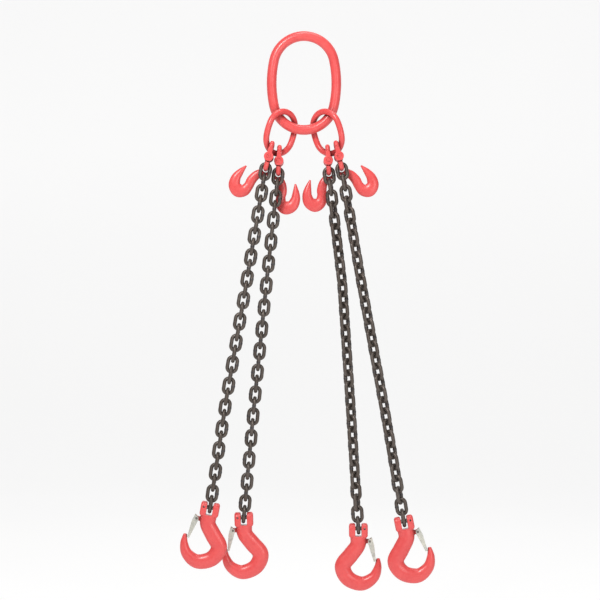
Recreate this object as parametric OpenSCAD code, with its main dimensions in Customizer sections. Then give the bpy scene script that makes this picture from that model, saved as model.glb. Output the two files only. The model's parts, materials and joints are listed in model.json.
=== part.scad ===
// Four leg chain sling: one master link, two sub-links and four legs. Each leg has a coupling
// link, a grab hook for shortening, a welded chain and a clevis sling hook with a sprung latch.
// It hangs along Z from the inner crown of the master link, which is the origin. X runs across
// the four legs and Y is the depth. Legs 1 and 2 hang on the left sub-link, 3 and 4 on the right.

/* [Master link] */
// Diameter of the master link's bar
master_d = 21; // [16:0.5:22]
// Greatest width inside the master link
master_inner_w = 116; // [110:1:130]
// Length inside the master link
master_inner_l = 178; // [170:1:200]
// Half angle of the shallow arcs that form its sides
master_side_angle = 12; // [6:1:16]

/* [Sub-links] */
// Diameter of a sub-link's bar
sub_d = 13; // [11:0.5:13]
// Greatest width inside a sub-link
sub_inner_w = 58.2; // [57:0.1:60]
// Length inside a sub-link
sub_inner_l = 77.4; // [76:0.1:82]
// Half angle of the shallow arcs that form its sides
sub_side_angle = 8; // [4:1:12]

/* [Coupling links] */
// Diameter of the forged bow
bow_d = 10; // [8:0.5:10]
// Distance between the bow's two arms, centre to centre
bow_w = 40; // [38:1:44]
// Distance from the load pin's axis to the upper bow's centreline
bow_reach = 29.5; // [28:0.5:31]
// The same for the lower bow
lower_reach = 26; // [25:0.5:29]
// Radius of the bow's corners
bow_corner_r = 6; // [6:0.5:7]
// Diameter of the lugs round the load pin
lug_d = 20; // [17:0.5:20]
// Diameter of the coupling's load pin
coupling_pin_d = 9; // [7:0.5:9]

/* [Chain] */
// Diameter of the chain wire
wire_d = 8; // [7:0.1:8]
// Pitch, which is the length inside one chain link
pitch = 24; // [24:0.1:25]
// Width over a chain link
link_w = 27; // [26:0.5:28]
// Chain links in one leg, an even number so that the last one fits the clevis
links = 32; // [26:2:36]

/* [Grab hooks] */
// Diameter of the eye's bar
eye_d = 7.4; // [7:0.1:8]
// Radius of the hole in the eye
eye_hole_r = 6.4; // [6:0.1:7]
// Size of the grab hook's body, as a factor
grab_scale = 1.03; // [0.95:0.01:1.05]

/* [Sling hooks] */
// Width over the two clevis ears
clevis_w = 40; // [38:0.5:42]
// Gap between the clevis ears
clevis_gap = 13; // [12:0.5:14]
// Depth of the clevis ears from front to back
clevis_depth = 23; // [21:0.5:24]
// Diameter of the clevis load pin
clevis_pin_d = 9; // [8.5:0.1:9]
// Diameter of the keeper that locks the clevis pin
keeper_d = 4; // [3:0.5:4]

/* [Latch] */
// Thickness of the latch's sheet metal
sheet = 1.6; // [1.2:0.1:2]
// Diameter of the latch's pivot pin
latch_pin_d = 4.4; // [4:0.1:4.6]
// Wire diameter of the latch's torsion spring
spring_d = 1; // [0.8:0.1:1.1]

/* [Hang] */
// Gap that is left between two loops that hang on each other
seat_gap = 0.6; // [0.5:0.05:0.7]
// Radial clearance of a pin in its hole
pin_gap = 0.05; // [0.02:0.01:0.1]

/* [Hidden] */
$fn = 48;
eps = 0.01;
// The sides of an oval link are a hair fuller than its ends and lap onto them, by this angle.
side_swell = 0.1;
side_lap = 0.1;
SIDES = ["left", "right"];
LEG_PARTS = ["coupling_upper", "coupling_lower", "coupling_pin", "coupling_sleeve", "grab_hook",
             "chain_upper", "chain_middle", "chain_lower", "sling_hook", "clevis_pin",
             "clevis_keeper", "latch", "latch_pin", "latch_spring"];
PAINT = [0.93, 0.22, 0.20];
CHAIN = [0.25, 0.22, 0.21];
ZINC = [0.72, 0.72, 0.68];
STEEL = [0.45, 0.44, 0.43];

// Everything about a leg is set as if it hung on the left, where outward is -X; legs 3 and 4 are
// mirrored. Index 0 is leg 1. Tilts are in degrees outward and leans are in degrees backward.
// Each coupling's place is an angle round the sub-link's lower bow, and the lift is the height
// that the slope of the bow there adds to the seat.
coupling_place = [-22, 20, 24, -22];
coupling_tilt = [15, 3, 3, 13];
seat_lift = [1.3, 0.2, 0.6, 1.8];
// The chain's upper, middle and lower parts each have a tilt and a lean, and the slack is what
// the loose links give up of their pitch.
chain_tilts = [[9.5, 9.8, 8.4], [6.1, 5.8, 5.3], [6.9, 3.9, 3.6], [9.6, 10.3, 9.6]];
chain_leans = [[0, -0.5, -0.5], [0, 2, 2], [0, 0, 0], [-4, -3, -2.5]];
chain_twist = [0, 0, 45, 45];
chain_slack = [1.1, 0.75, 0.05, 0.2];
twist_in = 5;
twist_out = 4;
grab_tilt = [27, 14, 3, 27];
grab_opens_out = [true, false, false, true];
hook_tilt = [10, -2, 0, 11];
hook_lean = [0, 1, 0, -1];
// The last link of the upper, the middle and the lower part of a chain.
part_links = [10, 22, links];

// The sub-link's crown hangs over the master link's lower bow, one arm in front and one behind.
sub_crown = [-37.1, -5.6, -151];
sub_tilt = 14.4;
sub_turn = 40.5;
sub_lean = 2.2;

// Along the coupling's load pin the two halves' lugs lie side by side, round a centre sleeve.
// The outer lugs stand a little outside the arms, and a web over each lug carries it up to them.
lug_t = 7.2;
lug_gap = 0.3;
lug_offset = 1.5;
arm_foot = lug_d / 2 + 1.5;
web_top = arm_foot + 3;
lug_outer_y = bow_w / 2 + lug_t / 2 + lug_offset;
lug_inner_y = lug_outer_y - lug_t - lug_gap;
sleeve_l = 2 * lug_inner_y - lug_t - 2 * lug_gap;
sleeve_r = 5.8;
// The chain sits towards the front of the lower bow and the grab hook towards its back.
chain_seat_y = -10;
hook_seat_y = 10.6;

// The clevis: a slot for the last link, a round mouth that clears the link above it, and a head
// that a large circle rounds off. The keeper crosses the load pin inside one ear.
slot_depth = 16;
mouth_r = 13;
mouth_z = 20.5;
head_drop = 20;
head_round = 23;
head_mid = -4;
pin_recess = 1;
keeper_x = clevis_w / 2 - 7;
keeper_half = 7;

// Places in the latch's plane, with +X towards the hook's tip and the clevis pin as the origin.
latch_pivot = [24, -27];
latch_end = [36.4, -69];
// The half boss on the shank that carries the latch's pin, between the latch's cheeks.
boss_t = 4;
boss_r = 4.9;
boss_reach = 12;
// The latch's outline: its reach round the pin, its width at the end, how far its cheeks lap
// over the pin, where they taper, how far up its open end starts, and the width over its cheeks.
latch_r = 6.8;
latch_tip_w = 4;
latch_tip_out = 0.5;
latch_tip_in = 1;
latch_lap = 3.2;
cheek_back = 2.88;
cheek_front = 4.8;
latch_taper = 10;
latch_open = 6;
latch_w = 15;
latch_pin_proud = 0.8;
// The spring's turns, beside the boss.
spring_turns = 2;
spring_y = 1;
spring_lead = 0.2;
spring_play = 0.3;

// Stations along the grab hook from its eye to its tip: x, z, half width and half thickness.
GRAB_STATIONS = [
    [5, -9, 7.4, 3.8], [12.5, -20, 9, 4.4], [16.4, -33, 9.8, 4.6], [16.8, -46, 9.8, 4.8],
    [21, -58.5, 12, 5.4], [32, -63.8, 13.8, 6], [43.5, -57, 12.2, 6], [47.2, -43, 9.9, 5.6],
    [44.6, -28, 6.8, 4.4], [39, -11, 1.4, 1.6]
];

// The same for the sling hook, from below its clevis to its tip.
HOOK_STATIONS = [
    [0, -19, 17, 10.5], [-1.5, -36, 16.5, 10.5], [-16, -56, 17, 10.5], [-33, -80, 17, 10.5],
    [-21.5, -106, 16.5, 10.5], [7, -116.8, 15.2, 10.5], [31, -104.5, 12, 9.5],
    [41, -84, 8.4, 7.5], [42, -63, 3.6, 4.2]
];

// ---- placing -------------------------------------------------------------------------------
function shift(v) = [[1, 0, 0, v[0]], [0, 1, 0, v[1]], [0, 0, 1, v[2]], [0, 0, 0, 1]];
function turn_x(a) = [[1, 0, 0, 0], [0, cos(a), -sin(a), 0], [0, sin(a), cos(a), 0], [0, 0, 0, 1]];
function turn_y(a) = [[cos(a), 0, sin(a), 0], [0, 1, 0, 0], [-sin(a), 0, cos(a), 0], [0, 0, 0, 1]];
function turn_z(a) = [[cos(a), -sin(a), 0, 0], [sin(a), cos(a), 0, 0], [0, 0, 1, 0], [0, 0, 0, 1]];
function place(m, v) = [for (row = [0:2]) m[row] * [v[0], v[1], v[2], 1]];
function aim(tilt, lean) = turn_y(tilt) * turn_x(lean);
function is_right(leg) = leg > 2;

// A four-arc oval: its half width and half length are to the centreline of the bar.
function oval_h(w, l, a) = (l - w) / (1 - tan(a / 2));
function oval_end_r(w, l, a) = l - oval_h(w, l, a);
function oval_side_r(w, l, a) = oval_end_r(w, l, a) + oval_h(w, l, a) / sin(a);

master_w = (master_inner_w + master_d) / 2;
master_l = (master_inner_l + master_d) / 2;
sub_w = (sub_inner_w + sub_d) / 2;
sub_l = (sub_inner_l + sub_d) / 2;
sub_frame = shift(sub_crown) * turn_y(sub_tilt) * turn_z(sub_turn) * turn_x(sub_lean);

// The point on the sub-link's lower bow that leg's coupling hangs on.
function wire_point(leg) =
    let (a = coupling_place[leg - 1],
         h = oval_h(sub_w, sub_l, sub_side_angle),
         r = oval_end_r(sub_w, sub_l, sub_side_angle))
    place(sub_frame, [r * sin(a), 0, -sub_l - h - r * cos(a)]);
// The way from that point to the bow that rests on it, square to both bars.
function seat_way(leg) =
    let (a = coupling_place[leg - 1],
         along = place(sub_frame, [cos(a), 0, sin(a)]) - place(sub_frame, [0, 0, 0]))
    [-along[2], 0, along[0]] / norm([along[0], along[2]]);
function coupling_frame(leg) =
    let (tilt = coupling_tilt[leg - 1],
         apart = (sub_d + bow_d) / 2 + seat_gap + seat_lift[leg - 1],
         rise = apart / (seat_way(leg) * [sin(tilt), 0, cos(tilt)]))
    shift(wire_point(leg)) * turn_y(tilt) * shift([0, 0, rise - bow_reach]);
function bar_frame(leg) = coupling_frame(leg) * shift([0, 0, -lower_reach])
    * turn_y(-coupling_tilt[leg - 1]);
function grab_frame(leg) =
    bar_frame(leg) * shift([0, hook_seat_y, -(eye_hole_r - bow_d / 2 - seat_gap)])
    * turn_y(grab_tilt[leg - 1]) * turn_z(grab_opens_out[leg - 1] ? 180 : 0);

// The chain's links follow one another down the leg; each of its three parts has its own aim.
function chain_part(k) = k <= part_links[0] ? 0 : k <= part_links[1] ? 1 : 2;
function link_aim(leg, k) =
    aim(chain_tilts[leg - 1][chain_part(k)], chain_leans[leg - 1][chain_part(k)]);
function link_step(leg) = pitch - chain_slack[leg - 1];
function first_center(leg) = place(
    bar_frame(leg) * shift([0, chain_seat_y, 0]) * link_aim(leg, 1),
    [0, 0, bow_d / 2 + seat_gap - pitch / 2]);
function link_center(leg, k) = k == 1 ? first_center(leg) :
    let (half = [0, 0, -link_step(leg) / 2])
    link_center(leg, k - 1) + place(link_aim(leg, k - 1), half) + place(link_aim(leg, k), half);
function link_twist(leg, k) =
    (k % 2 == 0 ? 90 : 0)
    + chain_twist[leg - 1] * min(1, (k - 1) / twist_in, (links - k) / twist_out);
function link_frame(leg, k) = shift(link_center(leg, k)) * link_aim(leg, k) * turn_z(link_twist(leg, k));
function clevis_center(leg) = link_center(leg, links)
    + place(link_aim(leg, links), [0, 0, clevis_pin_d / 2 + seat_gap - pitch / 2]);
function hook_frame(leg) = shift(clevis_center(leg))
    * aim(hook_tilt[leg - 1], hook_lean[leg - 1]) * turn_z(180);

module on_leg(leg, frame) {
    mirror([is_right(leg) ? 1 : 0, 0, 0])
        multmatrix(frame)
            children();
}

// ---- shapes --------------------------------------------------------------------------------
// An arc of round bar in the XZ plane, from one angle to another, about the origin.
module bar_arc(r, d, from, to) {
    rotate([90, 0, 0])
        rotate_extrude(angle = to - from, start = from, $fn = 96)
            translate([r, 0])
                circle(d = d, $fn = 32);
}

// An oblong ring of round bar with slightly curved sides, centred, standing in the XZ plane.
module oval_link(w, l, d, a) {
    h = oval_h(w, l, a);
    end_r = oval_end_r(w, l, a);
    side_r = oval_side_r(w, l, a);
    translate([0, 0, h])
        bar_arc(end_r, d, a, 180 - a);
    translate([0, 0, -h])
        bar_arc(end_r, d, 180 + a, 360 - a);
    translate([w - side_r, 0, 0])
        bar_arc(side_r, d + side_swell, -a - side_lap, a + side_lap);
    translate([side_r - w, 0, 0])
        bar_arc(side_r, d + side_swell, 180 - a - side_lap, 180 + a + side_lap);
}

// One welded chain link, centred, standing in the XZ plane.
module chain_link() {
    r = (link_w - wire_d) / 2;
    straight = pitch + wire_d - 2 * r;
    translate([0, 0, straight / 2])
        bar_arc(r, wire_d, 0, 180);
    translate([0, 0, -straight / 2])
        bar_arc(r, wire_d, 180, 360);
    for (x = [-r, r])
        translate([x, 0, 0])
            cylinder(h = straight, d = wire_d, center = true, $fn = 32);
}

// A point on the smooth curve through four stations, t of the way from b to c.
function spline(a, b, c, d, t) =
    (2 * b + (c - a) * t + (2 * a - 5 * b + 4 * c - d) * t * t
     + (3 * b - a - 3 * c + d) * t * t * t) / 2;
function spline_at(s, u) =
    let (last = len(s) - 1, i = min(floor(u), last - 1))
    spline(s[max(i - 1, 0)], s[i], s[i + 1], s[min(i + 2, last)], u - i);

// A forged body swept through stations of [x, z, half width, half thickness].
module forged(stations, steps, sides) {
    spans = len(stations) - 1;
    rings = spans * steps;
    near = 0.02;
    points = [for (i = [0:rings])
        let (u = i / steps,
             p = spline_at(stations, u),
             q = spline_at(stations, min(u + near, spans))
                 - spline_at(stations, max(u - near, 0)),
             along = [q[0], q[1]] / norm([q[0], q[1]]))
        for (j = [0:sides - 1])
            let (a = 360 * j / sides, across = p[2] * cos(a))
            [p[0] - along[1] * across, p[3] * sin(a), p[1] + along[0] * across]];
    walls = [for (i = [0:rings - 1], j = [0:sides - 1])
        let (a = i * sides + j, b = i * sides + (j + 1) % sides)
        each [[a, b, b + sides], [a, b + sides, a + sides]]];
    caps = [[for (j = [0:sides - 1]) sides - 1 - j], [for (j = [0:sides - 1]) rings * sides + j]];
    polyhedron(points, concat(walls, caps), convexity = 6);
}

// A rod along Y between two depths, at x and z.
module rod_y(x, z, r, from, to) {
    translate([x, from, z])
        rotate([-90, 0, 0])
            cylinder(r = r, h = to - from);
}

// ---- top links -----------------------------------------------------------------------------
module master_link() {
    color(PAINT)
        translate([0, 0, master_d / 2 - master_l])
            oval_link(master_w, master_l, master_d, master_side_angle);
}

module sub_link(side) {
    color(PAINT)
        mirror([side == "right" ? 1 : 0, 0, 0])
            multmatrix(sub_frame)
                translate([0, 0, -sub_l])
                    oval_link(sub_w, sub_l, sub_d, sub_side_angle);
}

// ---- coupling links ------------------------------------------------------------------------
// One forged half: a bow over two lugs, one outside at -Y and one inside at +Y, round the pin.
module coupling_half(reach) {
    arm = bow_w / 2;
    corner = arm - bow_corner_r;
    arm_top = reach - bow_corner_r;
    difference() {
        union() {
            translate([0, -corner - eps, reach])
                rotate([-90, 0, 0])
                    cylinder(h = 2 * corner + 2 * eps, d = bow_d, $fn = 32);
            for (side = [-1, 1]) {
                translate([0, side * corner, arm_top])
                    rotate([0, 0, 90])
                        bar_arc(bow_corner_r, bow_d, side > 0 ? 0 : 90, side > 0 ? 90 : 180);
                translate([0, side * arm, arm_foot])
                    cylinder(h = arm_top - arm_foot, d = bow_d, $fn = 32);
            }
            coupling_lug(-lug_outer_y);
            coupling_lug(lug_inner_y);
        }
        rod_y(0, 0, coupling_pin_d / 2 + pin_gap, -lug_outer_y - lug_t, lug_outer_y + lug_t);
    }
}

// One lug at a depth along the pin, with the web that joins it to the foot of the bow's arm.
module coupling_lug(y) {
    front = y - lug_t / 2;
    rod_y(0, 0, lug_d / 2, front, front + lug_t);
    translate([-bow_d / 2, front, 0])
        cube([bow_d, lug_t, web_top]);
    rod_y(0, web_top, bow_d / 2, front, front + lug_t);
}

module coupling_upper(leg) {
    color(PAINT)
        on_leg(leg, coupling_frame(leg))
            coupling_half(bow_reach);
}

module coupling_lower(leg) {
    color(PAINT)
        on_leg(leg, coupling_frame(leg))
            rotate([180, 0, 0])
                coupling_half(lower_reach);
}

module coupling_pin(leg) {
    half = lug_outer_y + lug_t / 2;
    color(STEEL)
        on_leg(leg, coupling_frame(leg))
            rod_y(0, 0, coupling_pin_d / 2, -half, half);
}

module coupling_sleeve(leg) {
    color(STEEL)
        on_leg(leg, coupling_frame(leg))
            difference() {
                rod_y(0, 0, sleeve_r, -sleeve_l / 2, sleeve_l / 2);
                rod_y(0, 0, coupling_pin_d / 2 + pin_gap, -sleeve_l, sleeve_l);
            }
}

// ---- chain ---------------------------------------------------------------------------------
module chain_run(leg, from, to) {
    color(CHAIN)
        for (k = [from:to])
            on_leg(leg, link_frame(leg, k))
                chain_link();
}

module chain_upper(leg) { chain_run(leg, 1, part_links[0]); }
module chain_middle(leg) { chain_run(leg, part_links[0] + 1, part_links[1]); }
module chain_lower(leg) { chain_run(leg, part_links[1] + 1, part_links[2]); }

// ---- grab hook -----------------------------------------------------------------------------
// Its eye is at the origin and it hangs along -Z, with the slot and the tip at +X.
module grab_hook(leg) {
    eye_r = eye_hole_r + eye_d / 2;
    color(PAINT)
        on_leg(leg, grab_frame(leg))
            difference() {
                union() {
                    rotate([90, 0, 0])
                        rotate_extrude()
                            translate([eye_r, 0])
                                circle(d = eye_d, $fn = 32);
                    scale(grab_scale)
                        forged(GRAB_STATIONS, 4, 12);
                }
                rod_y(0, 0, eye_hole_r, -eye_d, eye_d);
            }
}

// ---- sling hook ----------------------------------------------------------------------------
// The clevis pin is the origin and the hook hangs along -Z, with its tip and latch at +X.
module sling_hook(leg) {
    color(PAINT)
        on_leg(leg, hook_frame(leg))
            difference() {
                union() {
                    forged(HOOK_STATIONS, 4, 14);
                    clevis_head();
                    rod_y(latch_pivot[0], latch_pivot[1], boss_r, -boss_t, 0);
                    translate([latch_pivot[0] - boss_reach, -boss_t, latch_pivot[1] - boss_r])
                        cube([boss_reach, boss_t, 2 * boss_r]);
                }
                translate([-clevis_gap / 2, -clevis_depth, -slot_depth])
                    cube([clevis_gap, 2 * clevis_depth, 2 * slot_depth]);
                rod_y(0, mouth_z, mouth_r, -clevis_depth, clevis_depth);
                rotate([0, 90, 0])
                    cylinder(r = clevis_pin_d / 2 + pin_gap, h = 2 * clevis_w, center = true);
                rod_y(keeper_x, 0, keeper_d / 2 + pin_gap, -clevis_depth, clevis_depth);
                rod_y(latch_pivot[0], latch_pivot[1], latch_pin_d / 2 + pin_gap, -boss_t - 1, 1);
            }
}

// The block that carries the two ears, rounded over the pin and waisted into the shank.
module clevis_head() {
    intersection() {
        union() {
            rotate([0, 90, 0])
                cylinder(d = clevis_depth, h = clevis_w, center = true);
            translate([-clevis_w / 2, -clevis_depth / 2, -head_drop])
                cube([clevis_w, clevis_depth, head_drop]);
        }
        rod_y(0, head_mid, head_round, -clevis_depth, clevis_depth);
    }
}

module clevis_pin(leg) {
    color(STEEL)
        on_leg(leg, hook_frame(leg))
            difference() {
                rotate([0, 90, 0])
                    cylinder(d = clevis_pin_d, h = clevis_w - 2 * pin_recess, center = true);
                rod_y(keeper_x, 0, keeper_d / 2 + pin_gap, -clevis_depth, clevis_depth);
            }
}

module clevis_keeper(leg) {
    color(STEEL)
        on_leg(leg, hook_frame(leg))
            rod_y(keeper_x, 0, keeper_d / 2, -keeper_half, keeper_half);
}

// ---- latch ---------------------------------------------------------------------------------
// A folded sheet with two cheeks on the pivot pin and a web along its outer edge.
module latch_outline() {
    from = latch_pivot;
    to = latch_end;
    along = (to - from) / norm(to - from);
    out = [-along[1], along[0]];
    polygon([
        from - along * latch_r + out * latch_r,
        from - along * latch_lap - out * cheek_back,
        from + along * latch_lap - out * cheek_front,
        to - out * latch_tip_w,
        to + out * latch_tip_out,
        from + along * latch_taper + out * latch_r
    ]);
}

module latch(leg) {
    half = latch_w / 2;
    color(ZINC)
        on_leg(leg, hook_frame(leg))
            difference() {
                rotate([90, 0, 0])
                    linear_extrude(2 * half, center = true)
                        latch_outline();
                rotate([90, 0, 0])
                    linear_extrude(2 * (half - sheet), center = true)
                        latch_hollow();
                rod_y(latch_pivot[0], latch_pivot[1], latch_pin_d / 2 + pin_gap, -latch_w, latch_w);
            }
}

// The space between the cheeks, inside the web.
module latch_hollow() {
    from = latch_pivot;
    to = latch_end;
    along = (to - from) / norm(to - from);
    out = [-along[1], along[0]];
    polygon([
        from - along * 2 * latch_r + out * (latch_r - sheet),
        from - along * 2 * latch_r - out * 2 * latch_r,
        to - along * latch_open - out * 2 * latch_r,
        to - along * latch_open + out * (latch_tip_in - sheet),
        from + along * latch_taper + out * (latch_r - sheet)
    ]);
}

module latch_pin(leg) {
    half = latch_w / 2 + latch_pin_proud;
    color(STEEL)
        on_leg(leg, hook_frame(leg))
            rod_y(latch_pivot[0], latch_pivot[1], latch_pin_d / 2, -half, half);
}

// The turns of spring wire beside the boss, between the cheeks.
module latch_spring(leg) {
    color(STEEL)
        on_leg(leg, hook_frame(leg))
            for (turn = [0:spring_turns - 1])
                translate([latch_pivot[0], spring_y + turn * (spring_d + spring_lead), latch_pivot[1]])
                    rotate([90, 0, 0])
                        rotate_extrude()
                            translate([(latch_pin_d + spring_d) / 2 + spring_play, 0])
                                circle(d = spring_d, $fn = 16);
}

// ---- the assembly --------------------------------------------------------------------------
master_link();
for (side = SIDES)
    sub_link(side);
for (leg = [1:4]) {
    coupling_upper(leg);
    coupling_lower(leg);
    coupling_pin(leg);
    coupling_sleeve(leg);
    grab_hook(leg);
    chain_upper(leg);
    chain_middle(leg);
    chain_lower(leg);
    sling_hook(leg);
    clevis_pin(leg);
    clevis_keeper(leg);
    latch(leg);
    latch_pin(leg);
    latch_spring(leg);
}
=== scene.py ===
"""The looks of a four leg chain sling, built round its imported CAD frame.

The CAD frame fixes every place and size. The links of the chains, the forged hooks, the coupling
links, the latches and their springs are rebuilt here as finished meshes; the rings and the pins
stay as the CAD made them and only get their materials.
"""

import json
import math

import bmesh
import bpy
import numpy as np
from mathutils import Matrix, Vector


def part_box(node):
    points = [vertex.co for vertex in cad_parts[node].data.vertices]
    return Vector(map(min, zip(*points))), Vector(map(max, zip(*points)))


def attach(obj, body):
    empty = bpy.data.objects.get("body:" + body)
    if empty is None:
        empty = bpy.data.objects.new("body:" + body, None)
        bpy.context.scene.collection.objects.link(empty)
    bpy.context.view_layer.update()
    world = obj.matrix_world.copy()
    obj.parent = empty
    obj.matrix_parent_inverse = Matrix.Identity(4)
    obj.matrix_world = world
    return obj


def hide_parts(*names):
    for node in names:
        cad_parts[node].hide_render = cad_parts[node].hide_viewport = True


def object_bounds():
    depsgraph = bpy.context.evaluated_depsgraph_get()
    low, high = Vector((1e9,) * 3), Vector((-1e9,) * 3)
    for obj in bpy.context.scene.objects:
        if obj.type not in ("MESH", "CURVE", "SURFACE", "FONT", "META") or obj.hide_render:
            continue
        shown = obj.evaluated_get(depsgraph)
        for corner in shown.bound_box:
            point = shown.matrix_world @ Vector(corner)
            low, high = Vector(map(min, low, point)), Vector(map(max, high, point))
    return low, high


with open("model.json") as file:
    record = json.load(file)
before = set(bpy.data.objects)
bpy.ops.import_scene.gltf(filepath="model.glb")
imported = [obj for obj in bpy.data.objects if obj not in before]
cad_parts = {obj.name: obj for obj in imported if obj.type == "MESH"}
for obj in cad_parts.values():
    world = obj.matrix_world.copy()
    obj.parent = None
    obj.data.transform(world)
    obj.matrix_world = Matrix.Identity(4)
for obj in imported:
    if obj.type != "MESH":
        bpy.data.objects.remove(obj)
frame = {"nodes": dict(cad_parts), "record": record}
NODES = frame["nodes"]
JOINTS = {j["name"]: j for j in frame["record"]["behaviour"]["joints"]}
cad_lo, cad_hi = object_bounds()

MM = 0.001
LEGS = (1, 2, 3, 4)
PIN_GAP = 0.05
MERGE = 0.005 * MM

# ---- camera and stage, metres ----
CAMERA_DISTANCE = 4.0
FRAME_HEIGHT = 1.272
SENSOR = 36.0
VIEW_X = -0.0085
VIEW_Z = -0.549
FLOOR_DROP = 0.18
FLOOR_FRONT = -6.0
BACKDROP_Y = 5.0
BACKDROP_BEND = 1.5
BACKDROP_TOP = 7.0
BACKDROP_HALF = 9.0
BEND_STEPS = 12
GROUND_GLOW = 0.775
SKY_STRENGTH = 0.16
LIGHT_COLOUR = (1.0, 0.985, 0.97)
# Each light's name, place, width and height, and power.
LIGHTS = (
    ("key", (-1.0, -2.6, 1.2), (0.8, 0.8), 66),
    ("fill", (1.5, -3.0, -0.2), (1.2, 1.6), 24),
    ("top", (0.2, -0.4, 2.0), (1.4, 0.8), 24),
    ("rear", (0.6, 2.2, 0.8), (2.4, 1.6), 10),
)

# ---- chain, millimetres ----
LINK_PITCH = 24.0
LINK_WIDTH = 27.0
LINK_WIRE = 8.0
LINK_STEPS = 72
WIRE_SIDES = 18
WELD_BULGE = 0.5
WELD_SPREAD = 2.2
WELD_LUMP = 0.25
TINT_RANGE = 0.7

# ---- sling hook, millimetres: the clevis pin is the origin, +X is towards the tip ----
# Stations are x, z, half width and half thickness.
HOOK_STATIONS = [
    [0, -19, 17, 10.5],
    [-1.5, -36, 16.5, 10.5],
    [-16, -56, 17, 10.5],
    [-33, -80, 17, 10.5],
    [-21.5, -106, 16.5, 10.5],
    [7, -116.8, 15.2, 10.5],
    [31, -104.5, 12, 9.5],
    [41, -84, 8.4, 7.5],
    [42, -63, 3.6, 4.2],
]
CLEVIS_WIDTH = 40.0
CLEVIS_GAP = 13.0
CLEVIS_DEPTH = 23.0
CLEVIS_PIN = 9.0
SLOT_DEPTH = 16.0
HEAD_DROP = 20.0
HEAD_ROUND = 23.0
HEAD_MID = -4.0
HEAD_SLICES = 41
HEAD_SIDES = 48
EAR_EDGE = 4.0
EAR_PINCH = 0.28
MOUTH_Z = 20.5
MOUTH_R = 13.0
KEEPER_X = 13.0
KEEPER_D = 4.0
KEEPER_HALF = 7.0
KEEPER_WALL = 0.8
KEEPER_SLIT = math.radians(22)
LATCH_PIVOT = (24.0, -27.0)
LATCH_PIN = 4.4
BOSS_R = 4.9
BOSS_T = 4.0
BOSS_REACH = 12.0
FLASH_HEIGHT = 0.35
FLASH_WIDTH = 0.09

# ---- grab hook, millimetres: its eye is the origin, +X is towards the tip ----
GRAB_STATIONS = [
    [5, -9, 7.4, 3.8],
    [12.5, -20, 9, 4.4],
    [16.4, -33, 9.8, 4.6],
    [16.8, -46, 9.8, 4.8],
    [21, -58.5, 12, 5.4],
    [32, -63.8, 13.8, 6],
    [43.5, -57, 12.2, 6],
    [47.2, -43, 9.9, 5.6],
    [44.6, -28, 6.8, 4.4],
    [39, -11, 1.4, 1.6],
]
GRAB_SCALE = 1.03
EYE_HOLE_R = 6.4
EYE_WIRE = 7.4

# ---- latch spring, millimetres ----
SPRING_WIRE = 1.0
SPRING_COILS = 3.2
SPRING_PITCH = 1.15
SPRING_Y = 0.75
SPRING_RADIUS = LATCH_PIN / 2 + SPRING_WIRE / 2 + 0.25
COIL_STEPS = 90
# The ways in which the spring's two legs run, along the shank and along the latch.
SHANK_LEG = [-1.0, -0.02, 0.05]
LATCH_LEG = [0.283, 0.0, -0.959]


# ---- node helpers --------------------------------------------------------------------------
class Shader:
    """A new material with its Principled shader and short calls for the nodes it needs."""

    def __init__(self, name):
        self.material = bpy.data.materials.new(name)
        self.material.use_nodes = True
        self.tree = self.material.node_tree
        self.bsdf = self.tree.nodes["Principled BSDF"]
        place = self.tree.nodes.new("ShaderNodeTexCoord")
        self.place = place.outputs["Object"]

    def link(self, source, target):
        self.tree.links.new(source, target)

    def set(self, **values):
        for key, value in values.items():
            self.bsdf.inputs[key.replace("_", " ")].default_value = value

    def noise(self, scale, detail=3.0, roughness=0.5, stretch=None):
        node = self.tree.nodes.new("ShaderNodeTexNoise")
        node.inputs["Scale"].default_value = scale
        node.inputs["Detail"].default_value = detail
        node.inputs["Roughness"].default_value = roughness
        source = self.place
        if stretch:
            mapping = self.tree.nodes.new("ShaderNodeMapping")
            mapping.inputs["Scale"].default_value = stretch
            self.link(self.place, mapping.inputs["Vector"])
            source = mapping.outputs["Vector"]
        self.link(source, node.inputs["Vector"])
        return node.outputs["Fac"]

    def spots(self, scale):
        node = self.tree.nodes.new("ShaderNodeTexVoronoi")
        node.inputs["Scale"].default_value = scale
        self.link(self.place, node.inputs["Vector"])
        return node.outputs["Distance"]

    def pointiness(self):
        return self.tree.nodes.new("ShaderNodeNewGeometry").outputs["Pointiness"]

    # Ambient occlusion as a mask, used to paint shade into hollows and between parts.
    def painted_hollow_shade(self, distance):
        node = self.tree.nodes.new("ShaderNodeAmbientOcclusion")
        node.samples = 6
        node.inputs["Distance"].default_value = distance
        return node.outputs["AO"]

    def attribute(self, name):
        node = self.tree.nodes.new("ShaderNodeAttribute")
        node.attribute_name = name
        return node.outputs["Fac"]

    def fit(self, source, low, high, to_low=0.0, to_high=1.0):
        node = self.tree.nodes.new("ShaderNodeMapRange")
        for key, value in (
            ("From Min", low),
            ("From Max", high),
            ("To Min", to_low),
            ("To Max", to_high),
        ):
            node.inputs[key].default_value = value
        self.link(source, node.inputs["Value"])
        return node.outputs["Result"]

    def math(self, operation, a, b):
        node = self.tree.nodes.new("ShaderNodeMath")
        node.operation = operation
        for socket, value in zip(node.inputs, (a, b)):
            if isinstance(value, (int, float)):
                socket.default_value = value
            else:
                self.link(value, socket)
        return node.outputs["Value"]

    def mix(self, factor, a, b):
        node = self.tree.nodes.new("ShaderNodeMix")
        node.data_type = "RGBA"
        self.link(factor, node.inputs["Factor"])
        for socket, value in ((node.inputs[6], a), (node.inputs[7], b)):
            if isinstance(value, tuple):
                socket.default_value = (*value, 1.0)
            else:
                self.link(value, socket)
        return node.outputs[2]

    def bump(self, height, distance, strength=1.0, under=None):
        node = self.tree.nodes.new("ShaderNodeBump")
        node.inputs["Distance"].default_value = distance
        node.inputs["Strength"].default_value = strength
        self.link(height, node.inputs["Height"])
        if under is not None:
            self.link(under, node.inputs["Normal"])
        return node.outputs["Normal"]


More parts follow.
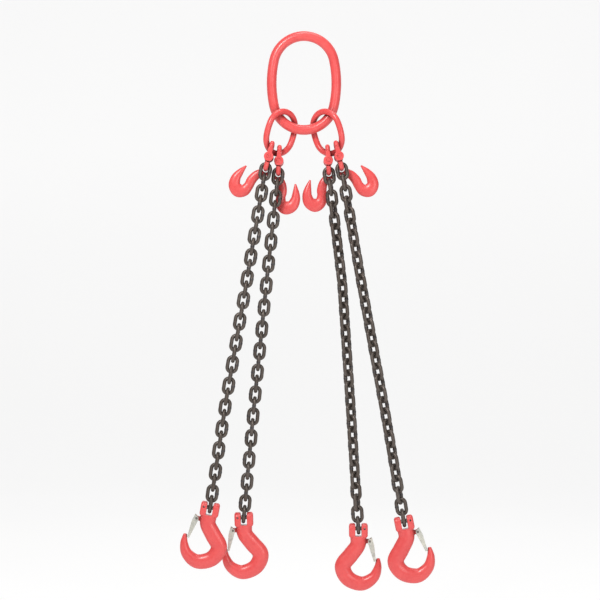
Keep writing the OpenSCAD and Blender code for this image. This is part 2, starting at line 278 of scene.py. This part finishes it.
# ---- materials -----------------------------------------------------------------------------
def red_paint():
    """Glossy red paint on forged steel, with painted shade in the hollows and edges darkened by
    rubbed wear and painted shade.
    """
    m = Shader("red_paint")
    tone = m.mix(m.noise(28.0, 4.0), (0.66, 0.056, 0.060), (0.84, 0.105, 0.102))
    mottle = m.fit(m.noise(170.0, 3.0), 0.35, 0.7)
    tone = m.mix(m.math("MULTIPLY", mottle, 0.22), tone, (0.90, 0.15, 0.13))
    # Painted shade: the red is darkened where ambient occlusion finds hollows and gaps between
    # parts.
    shade = m.fit(m.painted_hollow_shade(14 * MM), 0.30, 0.95, 0.85, 0.0)
    tone = m.mix(shade, tone, (0.20, 0.014, 0.018))
    # Edges darkened partly as rubbed wear and partly as painted shade along the rims; the wear also
    # roughens them.
    edge = m.fit(m.pointiness(), 0.53, 0.60)
    rub = m.fit(m.noise(210.0, 5.0, 0.65), 0.50, 0.60)
    edge_wear_and_shade = m.math("MULTIPLY", edge, rub)
    tone = m.mix(m.math("MULTIPLY", edge_wear_and_shade, 0.7), tone, (0.30, 0.030, 0.028))
    chip = m.fit(m.noise(120.0, 6.0, 0.7), 0.665, 0.69)
    chip = m.math("MULTIPLY", chip, m.fit(m.pointiness(), 0.505, 0.55))
    tone = m.mix(chip, tone, (0.10, 0.085, 0.080))
    m.link(tone, m.bsdf.inputs["Base Color"])
    rough = m.fit(m.noise(90.0, 4.0), 0.3, 0.7, 0.27, 0.42)
    m.link(m.math("ADD", rough, m.math("MULTIPLY", edge_wear_and_shade, 0.2)), m.bsdf.inputs["Roughness"])
    m.set(Coat_Weight=0.22, Coat_Roughness=0.18, Specular_IOR_Level=0.45)
    forged_skin = m.bump(m.noise(260.0, 4.0), 0.25 * MM, 0.55)
    peel = m.bump(m.noise(1300.0, 2.0), 0.05 * MM, 0.6, forged_skin)
    m.link(m.bump(chip, -0.12 * MM, 1.0, peel), m.bsdf.inputs["Normal"])
    return m.material


def chain_steel():
    """Dark oxide with oil on welded links; the weld is bluer and the bearing ends are rubbed."""
    m = Shader("chain_steel")
    tone = m.mix(m.noise(75.0, 5.0), (0.065, 0.053, 0.047), (0.160, 0.133, 0.116))
    tone = m.mix(m.attribute("tint"), tone, (0.080, 0.062, 0.050))
    rust = m.fit(m.noise(320.0, 5.0, 0.7), 0.60, 0.72, 0.0, 0.35)
    tone = m.mix(rust, tone, (0.16, 0.080, 0.045))
    tone = m.mix(m.math("MULTIPLY", m.attribute("weld"), 0.7), tone, (0.045, 0.048, 0.058))
    rub = m.math("MULTIPLY", m.attribute("rub"), m.fit(m.noise(400.0, 4.0), 0.40, 0.62))
    tone = m.mix(m.math("MULTIPLY", rub, 0.75), tone, (0.36, 0.33, 0.30))
    m.link(tone, m.bsdf.inputs["Base Color"])
    m.link(m.fit(m.noise(140.0, 4.0), 0.3, 0.7, 0.34, 0.58), m.bsdf.inputs["Roughness"])
    m.set(Metallic=0.6, Coat_Weight=0.18, Coat_Roughness=0.25)
    scale = m.bump(m.noise(500.0, 4.0, 0.6), 0.15 * MM, 0.7)
    m.link(m.bump(m.noise(1600.0, 2.0), 0.04 * MM, 0.6, scale), m.bsdf.inputs["Normal"])
    return m.material


def zinc_sheet():
    """Zinc plated sheet: a pale spangle and drawn lines along the sheet, with painted shade in the
    hollows and along the edges.
    """
    m = Shader("zinc_sheet")
    tone = m.mix(m.fit(m.spots(230.0), 0.1, 0.6), (0.66, 0.66, 0.60), (0.50, 0.51, 0.47))
    tone = m.mix(m.fit(m.noise(60.0, 4.0), 0.35, 0.7), tone, (0.72, 0.70, 0.61))
    # Painted shade: the zinc is darkened where ambient occlusion finds hollows and gaps between
    # parts.
    shade = m.fit(m.painted_hollow_shade(5 * MM), 0.2, 0.8, 0.55, 0.0)
    tone = m.mix(shade, tone, (0.13, 0.13, 0.11))
    # Painted shade along the sheet's edges, standing in for their shaded side walls.
    edge = m.fit(m.pointiness(), 0.54, 0.62, 0.0, 0.6)
    tone = m.mix(edge, tone, (0.24, 0.24, 0.21))
    m.link(tone, m.bsdf.inputs["Base Color"])
    m.link(m.fit(m.noise(180.0, 3.0), 0.3, 0.7, 0.30, 0.48), m.bsdf.inputs["Roughness"])
    m.set(Metallic=0.75)
    lines = m.noise(420.0, 3.0, stretch=(6.0, 6.0, 0.4))
    m.link(m.bump(lines, 0.06 * MM, 0.6), m.bsdf.inputs["Normal"])
    return m.material


def bright_steel(name, dark, light, metallic, rough_low, rough_high):
    """Turned or drawn steel: a fine grain and faint staining."""
    m = Shader(name)
    tone = m.mix(m.noise(130.0, 4.0), dark, light)
    stain = m.fit(m.noise(420.0, 5.0, 0.7), 0.58, 0.72, 0.0, 0.5)
    tone = m.mix(stain, tone, tuple(c * 0.45 for c in dark))
    m.link(tone, m.bsdf.inputs["Base Color"])
    rough = m.fit(m.noise(240.0, 3.0), 0.3, 0.7, rough_low, rough_high)
    m.link(rough, m.bsdf.inputs["Roughness"])
    m.set(Metallic=metallic)
    m.link(m.bump(m.noise(1100.0, 3.0), 0.05 * MM, 0.6), m.bsdf.inputs["Normal"])
    return m.material


def plain_ground():
    """The pale floor and backdrop, with a faint unevenness."""
    m = Shader("pale_ground")
    tone = m.mix(m.noise(1.5, 2.0), (0.28, 0.28, 0.28), (0.30, 0.30, 0.30))
    m.link(tone, m.bsdf.inputs["Base Color"])
    m.set(Roughness=1.0, Specular_IOR_Level=0.0)
    m.set(Emission_Color=(1.0, 1.0, 1.0, 1.0), Emission_Strength=GROUND_GLOW)
    return m.material


PAINT = red_paint()
CHAIN = chain_steel()
ZINC = zinc_sheet()
PIN_STEEL = bright_steel("pin_steel", (0.15, 0.12, 0.11), (0.30, 0.27, 0.25), 0.85, 0.28, 0.45)
SPRING_STEEL = bright_steel(
    "spring_steel", (0.40, 0.40, 0.38), (0.60, 0.60, 0.57), 0.9, 0.20, 0.32
)
FINISH = {
    "red_paint": PAINT,
    "chain_steel": CHAIN,
    "zinc_sheet": ZINC,
    "pin_steel": PIN_STEEL,
    "spring_steel": SPRING_STEEL,
}
NODE_SLOT = {s["node"]: s["material_slot"] for s in frame["record"]["subparts"]}
BODY_OF = {
    node: body for body, nodes in frame["record"]["behaviour"]["bodies"].items() for node in nodes
}


# ---- mesh helpers --------------------------------------------------------------------------
def new_mesh(name, verts, faces):
    mesh = bpy.data.meshes.new(name)
    mesh.from_pydata([tuple(v) for v in verts], [], [tuple(f) for f in faces])
    mesh.validate()
    return mesh


def new_object(name, mesh):
    obj = bpy.data.objects.new(name, mesh)
    bpy.context.scene.collection.objects.link(obj)
    return obj


def finish_piece(obj, node, body=None, replaces=True):
    """Smooth shading, the node's material, and the body that the piece rides on."""
    slot = NODE_SLOT[node]
    obj.data.materials.clear()
    obj.data.materials.append(FINISH[slot])
    obj.data.polygons.foreach_set("use_smooth", [True] * len(obj.data.polygons))
    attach(obj, body or BODY_OF[node])
    if replaces:
        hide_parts(node)


def applied(obj):
    """The object's mesh with its modifiers applied, as a new mesh; the object is removed."""
    depsgraph = bpy.context.evaluated_depsgraph_get()
    mesh = bpy.data.meshes.new_from_object(obj.evaluated_get(depsgraph))
    bpy.data.objects.remove(obj)
    return mesh


def remeshed(mesh, voxel, rounds):
    """One skin round everything in the mesh, softened by rounds of smoothing."""
    obj = new_object("work", mesh)
    skin = obj.modifiers.new("skin", "REMESH")
    skin.mode = "VOXEL"
    skin.voxel_size = voxel * MM
    if rounds:
        soft = obj.modifiers.new("soft", "SMOOTH")
        soft.factor = 0.5
        soft.iterations = rounds
    return applied(obj)


def cut(mesh, cutters):
    """The mesh with the cutters' volume taken away."""
    obj = new_object("work", mesh)
    tool = new_object("tool", joined("tool", cutters))
    step = obj.modifiers.new("cut", "BOOLEAN")
    step.operation = "DIFFERENCE"
    step.solver = "EXACT"
    step.use_self = True
    step.object = tool
    result = applied(obj)
    bpy.data.objects.remove(tool)
    return result


def joined(name, shapes):
    """Several (vertices, faces) shapes as one mesh."""
    verts, faces = [], []
    for v, f in shapes:
        base = len(verts)
        verts.extend(v)
        faces.extend([[base + i for i in face] for face in f])
    return new_mesh(name, verts, faces)


def ring_faces(rings, sides, closed):
    """Quads between rings of points, with end caps where the tube isn't a closed loop."""
    faces = []
    for i in range(rings if closed else rings - 1):
        for j in range(sides):
            a, b = i * sides + j, i * sides + (j + 1) % sides
            c, d = ((i + 1) % rings) * sides + (j + 1) % sides, ((i + 1) % rings) * sides + j
            faces.append([a, b, c, d])
    if not closed:
        faces.append(list(range(sides - 1, -1, -1)))
        faces.append([(rings - 1) * sides + j for j in range(sides)])
    return faces


def rod(axis, centre, radius, low, high, sides=64):
    """A cylinder along X or Y, in millimetres in, metres out; centre is its two other places."""
    verts = []
    for along in (low, high):
        for j in range(sides):
            a = 2 * math.pi * j / sides
            u, w = centre[0] + radius * math.cos(a), centre[1] + radius * math.sin(a)
            point = (along, u, w) if axis == "x" else (u, along, w)
            verts.append([c * MM for c in point])
    faces = ring_faces(2, sides, False)
    if axis == "y":
        faces = [face[::-1] for face in faces]
    return verts, faces


def block(low, high):
    """A box between two corners, in millimetres in, metres out."""
    verts = [[x * MM, y * MM, z * MM] for z in (low[2], high[2]) for y in (low[1], high[1])
             for x in (low[0], high[0])]
    faces = [[0, 2, 3, 1], [4, 5, 7, 6], [0, 1, 5, 4], [2, 6, 7, 3], [0, 4, 6, 2], [1, 3, 7, 5]]
    return verts, faces


def spline(stations, steps):
    """Points of the smooth curve through the stations, steps to a span."""
    s = np.array(stations, float)
    last = len(s) - 1
    points = []
    for k in range(last * steps + 1):
        u = k / steps
        i = min(int(u), last - 1)
        a, b, c, d = s[max(i - 1, 0)], s[i], s[i + 1], s[min(i + 2, last)]
        t = u - i
        points.append(
            (2 * b + (c - a) * t + (2 * a - 5 * b + 4 * c - d) * t**2
             + (3 * b - a - 3 * c + d) * t**3) / 2
        )
    return np.array(points)


def forged(stations, steps=16, sides=40):
    """A forged body swept through stations, with the thin flash line that the dies leave."""
    p = spline(stations, steps)
    way = np.gradient(p[:, :2], axis=0)
    way /= np.linalg.norm(way, axis=1)[:, None]
    verts = []
    for (x, z, half_w, half_t), (wx, wz) in zip(p, way):
        for j in range(sides):
            a = 2 * math.pi * j / sides
            flash = FLASH_HEIGHT * math.exp(-((math.sin(a) / FLASH_WIDTH) ** 2))
            across = (half_w + flash) * math.cos(a)
            verts.append([(x - wz * across) * MM, half_t * math.sin(a) * MM,
                          (z + wx * across) * MM])
    return verts, ring_faces(len(p), sides, False)


def torus(radius, wire, rings=72, sides=24):
    """A ring of round wire in the XZ plane."""
    verts = []
    for i in range(rings):
        a = 2 * math.pi * i / rings
        for j in range(sides):
            b = 2 * math.pi * j / sides
            reach = radius + wire / 2 * math.cos(b)
            verts.append([reach * math.cos(a) * MM, wire / 2 * math.sin(b) * MM,
                          reach * math.sin(a) * MM])
    return verts, [face[::-1] for face in ring_faces(rings, sides, True)]


def tube(points, radius, sides=12):
    """A round wire along a list of points, in millimetres in, metres out."""
    p = np.array(points, float)
    way = np.gradient(p, axis=0)
    way /= np.linalg.norm(way, axis=1)[:, None]
    side = np.cross(way[0], [0.31, 0.9, 0.2])
    verts = []
    for point, w in zip(p, way):
        side = side - w * side.dot(w)
        side /= np.linalg.norm(side)
        other = np.cross(w, side)
        for j in range(sides):
            a = 2 * math.pi * j / sides
            verts.append((point + radius * (math.cos(a) * side + math.sin(a) * other)) * MM)
    return verts, ring_faces(len(p), sides, False)


def placed(name, mesh, matrix):
    """A copy of the mesh moved by the matrix, turned inside out again where it was mirrored."""
    copy = mesh.copy()
    copy.name = name
    copy.transform(matrix)
    if matrix.determinant() < 0:
        copy.flip_normals()
    return new_object(name, copy)


def solid_centre(mesh):
    """The centre of volume of a closed mesh."""
    mesh.calc_loop_triangles()
    count = len(mesh.loop_triangles)
    index = np.empty(count * 3, int)
    mesh.loop_triangles.foreach_get("vertices", index)
    verts = np.empty(len(mesh.vertices) * 3)
    mesh.vertices.foreach_get("co", verts)
    tri = verts.reshape(-1, 3)[index.reshape(-1, 3)]
    origin = tri.reshape(-1, 3).mean(axis=0)
    tri = tri - origin
    volume = np.einsum("ij,ij->i", tri[:, 0], np.cross(tri[:, 1], tri[:, 2]))
    return origin + (tri.sum(axis=1) * volume[:, None]).sum(axis=0) / 4 / volume.sum()


def cad_copy(node):
    """A closed copy of a CAD node's mesh."""
    bm = bmesh.new()
    bm.from_mesh(NODES[node].data)
    bmesh.ops.remove_doubles(bm, verts=bm.verts, dist=MERGE)
    mesh = bpy.data.meshes.new(node + "_skin")
    bm.to_mesh(mesh)
    bm.free()
    return mesh


def frame_matrix(origin, x, y, z):
    m = Matrix.Identity(4)
    for column, axis in enumerate((x, y, z)):
        m.col[column][:3] = axis
    m.translation = origin
    return m


# ---- chain links ---------------------------------------------------------------------------
def link_path(steps):
    """Points round a link's wire in its own plane, with how near each is to an end or the weld."""
    r = (LINK_WIDTH - LINK_WIRE) / 2
    straight = LINK_PITCH + LINK_WIRE - 2 * r
    arc = math.pi * r
    total = 2 * (straight + arc)
    path = []
    for i in range(steps):
        s = total * i / steps
        if s < straight:
            x, z, out = r, s - straight / 2, 0.0
        elif s < straight + arc:
            a = (s - straight) / r
            x, z, out = r * math.cos(a), straight / 2 + r * math.sin(a), a
        elif s < 2 * straight + arc:
            x, z, out = -r, straight / 2 - (s - straight - arc), math.pi
        else:
            a = math.pi + (s - 2 * straight - arc) / r
            x, z, out = r * math.cos(a), -straight / 2 + r * math.sin(a), a
        along = s - straight / 2
        weld = math.exp(-((along / WELD_SPREAD) ** 2))
        path.append((x, z, out, weld, abs(math.sin(out)) ** 6))
    return path


def link_places(node):
    """Each link's centre and its thin, wide and long axes, from the top of a CAD chain down."""
    bm = bmesh.new()
    bm.from_mesh(NODES[node].data)
    bmesh.ops.remove_doubles(bm, verts=bm.verts, dist=MERGE)
    seen = set()
    groups = []
    for start in bm.verts:
        if start in seen:
            continue
        seen.add(start)
        stack, group = [start], []
        while stack:
            v = stack.pop()
            group.append(v.co.copy())
            for e in v.link_edges:
                other = e.other_vert(v)
                if other not in seen:
                    seen.add(other)
                    stack.append(other)
        groups.append(np.array(group))
    bm.free()
    groups.sort(key=lambda g: -g[:, 2].mean())
    places = []
    for index, group in enumerate(groups):
        centre = (group.max(axis=0) + group.min(axis=0)) / 2
        _, axes = np.linalg.eigh(np.cov((group - centre).T))
        wide, tall = axes[:, 1], axes[:, 2]
        if tall[2] < 0:
            tall = -tall
        wide = wide * (1 if index % 2 else -1)
        places.append((centre, np.cross(tall, wide), wide, tall))
    return places


def chain_piece(node):
    """Every link of a CAD chain node again, as welded links in the same places."""
    rng = np.random.default_rng(sum(ord(c) for c in node))
    path = link_path(LINK_STEPS)
    loop = [f[::-1] for f in ring_faces(len(path), WIRE_SIDES, True)]
    verts, faces, weld, rub, tint = [], [], [], [], []
    for centre, thick, wide, tall in link_places(node):
        shade = rng.random() * TINT_RANGE
        base = len(verts)
        for x, z, out, near_weld, near_end in path:
            for j in range(WIRE_SIDES):
                b = 2 * math.pi * j / WIRE_SIDES
                lump = 1 + WELD_LUMP * math.sin(3 * b + 5 * shade)
                radius = LINK_WIRE / 2 + WELD_BULGE * near_weld * lump
                px = x + radius * math.cos(b) * math.cos(out)
                pz = z + radius * math.cos(b) * math.sin(out)
                py = radius * math.sin(b)
                verts.append(centre + (wide * px + thick * py + tall * pz) * MM)
                weld.append(near_weld)
                rub.append(near_end * max(0.0, -math.cos(b)))
                tint.append(shade)
        faces.extend([[base + i for i in f] for f in loop])
    mesh = new_mesh(node + "_links", verts, faces)
    for name, values in (("weld", weld), ("rub", rub), ("tint", tint)):
        mesh.attributes.new(name, "FLOAT", "POINT").data.foreach_set("value", values)
    finish_piece(new_object(node + "_links", mesh), node)


# ---- hooks ---------------------------------------------------------------------------------
def joint_place(name):
    joint = JOINTS[name]
    return Vector(joint["pos_m"]), Vector(joint["axis"]).normalized()


def hook_matrix(leg):
    """The sling hook's frame, from its clevis pin, its latch pin and the side of its spring."""
    clevis, x = joint_place(f"clevis_swing_{leg}")
    pivot, y = joint_place(f"latch_turn_{leg}")
    lo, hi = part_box(f"latch_spring_{leg}")
    spring = (Vector(lo) + Vector(hi)) / 2
    if (pivot - clevis).dot(x) < 0:
        x = -x
    if (spring - pivot).dot(y) < 0:
        y = -y
    z = x.cross(y)
    if (pivot - clevis).dot(z) > 0:
        z = -z
    return frame_matrix(clevis, x, y, z)


def head_shape():
    """The clevis block: slices across X, rounded over the pin and pulled in at the sides."""
    half_w, half_d = CLEVIS_WIDTH / 2, CLEVIS_DEPTH / 2
    verts = []
    for i in range(HEAD_SLICES):
        x = -half_w + CLEVIS_WIDTH * i / (HEAD_SLICES - 1)
        rim = math.sqrt(max(0.0, HEAD_ROUND**2 - x * x))
        edge = max(0.0, abs(x) - (half_w - EAR_EDGE)) / EAR_EDGE
        shrink = 1 - EAR_PINCH * edge**2.5
        for j in range(HEAD_SIDES):
            a = 2 * math.pi * j / HEAD_SIDES
            y = half_d * shrink * math.cos(a)
            z = half_d * shrink * math.sin(a)
            if z < 0:
                y = half_d * shrink * math.copysign(abs(math.cos(a)) ** 0.3, math.cos(a))
                z = -HEAD_DROP * abs(math.sin(a)) ** 0.5
            z = min(z, HEAD_MID + rim)
            z = max(z, HEAD_MID - rim)
            verts.append([x * MM, y * MM, z * MM])
    return verts, ring_faces(HEAD_SLICES, HEAD_SIDES, False)


def sling_hook_mesh():
    """The forged hook with its clevis: one skin, then the machined slot and holes."""
    px, pz = LATCH_PIVOT
    boss = [
        rod("y", LATCH_PIVOT, BOSS_R, -BOSS_T, 0),
        block((px - BOSS_REACH, -BOSS_T, pz - BOSS_R), (px, 0, pz + BOSS_R)),
    ]
    skin = remeshed(joined("hook", [forged(HOOK_STATIONS), head_shape()]), 0.8, 10)
    body = remeshed(joined("hook", [mesh_shape(skin), *boss]), 0.7, 2)
    deep, across = CLEVIS_DEPTH, CLEVIS_WIDTH / 2 + 5
    cutters = [
        block((-CLEVIS_GAP / 2, -deep, -SLOT_DEPTH), (CLEVIS_GAP / 2, deep, SLOT_DEPTH)),
        rod("y", (0, MOUTH_Z), MOUTH_R, -deep - 1, deep + 1),
        rod("x", (0, 0), CLEVIS_PIN / 2 + PIN_GAP, -across, across),
        rod("y", (KEEPER_X, 0), KEEPER_D / 2 + PIN_GAP, -deep - 2, deep + 2),
        rod("y", LATCH_PIVOT, LATCH_PIN / 2 + PIN_GAP, -BOSS_T - 1, 1),
    ]
    for cutter in cutters:
        body = cut(body, [cutter])
    return remeshed(body, 0.62, 2)


def mesh_shape(mesh):
    return [list(v.co) for v in mesh.vertices], [list(p.vertices) for p in mesh.polygons]


def grab_hook_mesh():
    """The forged grab hook: its eye and body as one skin."""
    eye = torus(EYE_HOLE_R + EYE_WIRE / 2, EYE_WIRE)
    stations = [[GRAB_SCALE * value for value in station] for station in GRAB_STATIONS]
    hole = rod("y", (0, 0), EYE_HOLE_R, -9, 9)
    hook = cut(joined("grab", [forged(stations)]), [hole])
    return remeshed(joined("grab", [mesh_shape(hook), eye]), 0.5, 5)


def grab_matrix(leg, mesh):
    """Turns the hook about its eye until its centre of volume is the CAD hook's."""
    node = f"grab_hook_{leg}"
    eye, _ = joint_place(f"grab_hook_swing_{leg}")
    aim = solid_centre(cad_copy(node)) - np.array(eye)
    mine = solid_centre(mesh)
    lo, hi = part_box(node)
    best = None
    for flip in (1, -1):
        swing = math.atan2(aim[0], -aim[2]) - math.atan2(mine[0] * flip, -mine[2])
        matrix = (Matrix.Translation(eye) @ Matrix.Rotation(-swing, 4, "Y")
                  @ Matrix.Diagonal((flip, 1, 1, 1)))
        points = np.array([matrix @ v.co for v in mesh.vertices])
        miss = np.abs(points.min(axis=0) - np.array(lo)).sum()
        miss += np.abs(points.max(axis=0) - np.array(hi)).sum()
        if best is None or miss < best[0]:
            best = (miss, matrix)
    print(f"{node}: box differs by {best[0] / MM:.2f} mm in all")
    return best[1]


# ---- latch spring and keeper ---------------------------------------------------------------
def arc_point(turn, radius, y):
    px, pz = LATCH_PIVOT
    return [px + radius * math.cos(turn), y, pz + radius * math.sin(turn)]


def spring_mesh():
    """The coil round the latch pin, with the leg that bears on the hook's shank."""
    points = []
    for i in range(COIL_STEPS + 1):
        t = i / COIL_STEPS
        turn = math.radians(90) - 2 * math.pi * SPRING_COILS * t
        points.append(arc_point(turn, SPRING_RADIUS, SPRING_Y + SPRING_COILS * SPRING_PITCH * t))
    first = np.array(points[0])
    leg = [first + np.array(SHANK_LEG) * step for step in (5.2, 3.6, 2.0, 0.8)]
    return joined("spring", [tube(leg + [np.array(p) for p in points], SPRING_WIRE / 2)])


def spring_arm_mesh():
    """The other leg, which lies inside the latch's web and turns with it."""
    y = SPRING_Y + SPRING_COILS * SPRING_PITCH
    points = [arc_point(math.radians(a), SPRING_RADIUS, y) for a in range(60, -16, -8)]
    last = np.array(points[-1])
    points += [last + np.array(LATCH_LEG) * step for step in (1.0, 3.0, 5.5, 8.0, 10.5)]
    return joined("spring_arm", [tube(points, SPRING_WIRE / 2)])


def keeper_mesh():
    """A rolled spring pin: a tube of sheet with a slit along it."""
    outer, inner = KEEPER_D / 2, KEEPER_D / 2 - KEEPER_WALL
    count = 40
    section = []
    for radius, turns in ((outer, range(count + 1)), (inner, range(count, -1, -1))):
        for i in turns:
            a = KEEPER_SLIT + (2 * math.pi - 2 * KEEPER_SLIT) * i / count
            section.append((radius * math.cos(a), radius * math.sin(a)))
    sides = len(section)
    ends = (-KEEPER_HALF, KEEPER_HALF)
    verts = [[(KEEPER_X + u) * MM, y * MM, w * MM] for y in ends for u, w in section]
    faces = [f[::-1] for f in ring_faces(2, sides, False)[:sides]]
    for side in (0, 1):
        for i in range(count):
            face = [side * sides + k for k in (i, i + 1, sides - 2 - i, sides - 1 - i)]
            faces.append(face if side else face[::-1])
    return joined("keeper", [(verts, faces)])


# ---- build ---------------------------------------------------------------------------------
for leg in LEGS:
    for part in ("upper", "middle", "lower"):
        chain_piece(f"chain_{part}_{leg}")

hook_skin = sling_hook_mesh()
grab_skin = grab_hook_mesh()
spring = spring_mesh()
spring_arm = spring_arm_mesh()
keeper = keeper_mesh()
for leg in LEGS:
    at_hook = hook_matrix(leg)
    finish_piece(placed(f"hook_forging_{leg}", hook_skin, at_hook), f"sling_hook_{leg}")
    finish_piece(placed(f"spring_coil_{leg}", spring, at_hook), f"latch_spring_{leg}")
    finish_piece(placed(f"rolled_keeper_{leg}", keeper, at_hook), f"clevis_keeper_{leg}")
    finish_piece(placed(f"spring_arm_{leg}", spring_arm, at_hook), f"latch_spring_{leg}",
                 body=f"latch_{leg}", replaces=False)
    at_grab = grab_matrix(leg, grab_skin)
    finish_piece(placed(f"grab_forging_{leg}", grab_skin, at_grab), f"grab_hook_{leg}")
    for half in ("upper", "lower"):
        node = f"coupling_{half}_{leg}"
        skin = remeshed(cad_copy(node), 0.5, 6)
        finish_piece(new_object(f"{node}_forging", skin), node)
    node = f"latch_{leg}"
    skin = remeshed(cad_copy(node), 0.32, 4)
    finish_piece(new_object(f"{node}_sheet", skin), node)

for node, obj in NODES.items():
    obj.data.materials.clear()
    obj.data.materials.append(FINISH[NODE_SLOT[node]])

# ---- stage ---------------------------------------------------------------------------------
def ground():
    """A pale floor that sweeps up into a backdrop far behind."""
    floor_z = cad_lo[2] - FLOOR_DROP
    bend_y = BACKDROP_Y - BACKDROP_BEND
    bend_z = floor_z + BACKDROP_BEND
    profile = [(FLOOR_FRONT, floor_z), (bend_y, floor_z)]
    for i in range(1, BEND_STEPS + 1):
        a = math.pi / 2 * i / BEND_STEPS
        profile.append((bend_y + BACKDROP_BEND * math.sin(a), bend_z - BACKDROP_BEND * math.cos(a)))
    profile.append((BACKDROP_Y, BACKDROP_TOP))
    verts = [(x, y, z) for y, z in profile for x in (-BACKDROP_HALF, BACKDROP_HALF)]
    faces = [(2 * i, 2 * i + 1, 2 * i + 3, 2 * i + 2) for i in range(len(profile) - 1)]
    obj = new_object("ground", new_mesh("ground", verts, faces))
    obj.data.materials.append(plain_ground())
    obj.data.polygons.foreach_set("use_smooth", [True] * len(faces))


def look(obj, place, way):
    """Puts a lamp or the camera at a place, turned to face along a direction."""
    obj.location = place
    obj.rotation_mode = "QUATERNION"
    obj.rotation_quaternion = Vector(way).to_track_quat("-Z", "Y")


ground()
middle = (cad_lo + cad_hi) / 2
for name, place, size, power in LIGHTS:
    lamp = bpy.data.lights.new(name, "AREA")
    lamp.shape = "RECTANGLE"
    lamp.size, lamp.size_y = size
    lamp.energy = power
    lamp.color = LIGHT_COLOUR
    look(new_object(name, lamp), place, Vector(middle) - Vector(place))

bpy.context.scene.view_settings.view_transform = "Standard"
world = bpy.data.worlds.new("studio")
world.use_nodes = True
sky = world.node_tree.nodes["Background"]
sky.inputs["Color"].default_value = (1.0, 1.0, 1.0, 1.0)
sky.inputs["Strength"].default_value = SKY_STRENGTH
bpy.context.scene.world = world

camera = bpy.data.cameras.new("camera")
camera.sensor_width = SENSOR
camera.lens = SENSOR * CAMERA_DISTANCE / FRAME_HEIGHT
camera_obj = new_object("camera", camera)
look(camera_obj, (VIEW_X, -CAMERA_DISTANCE, VIEW_Z), (0, 1, 0))
bpy.context.scene.camera = camera_obj
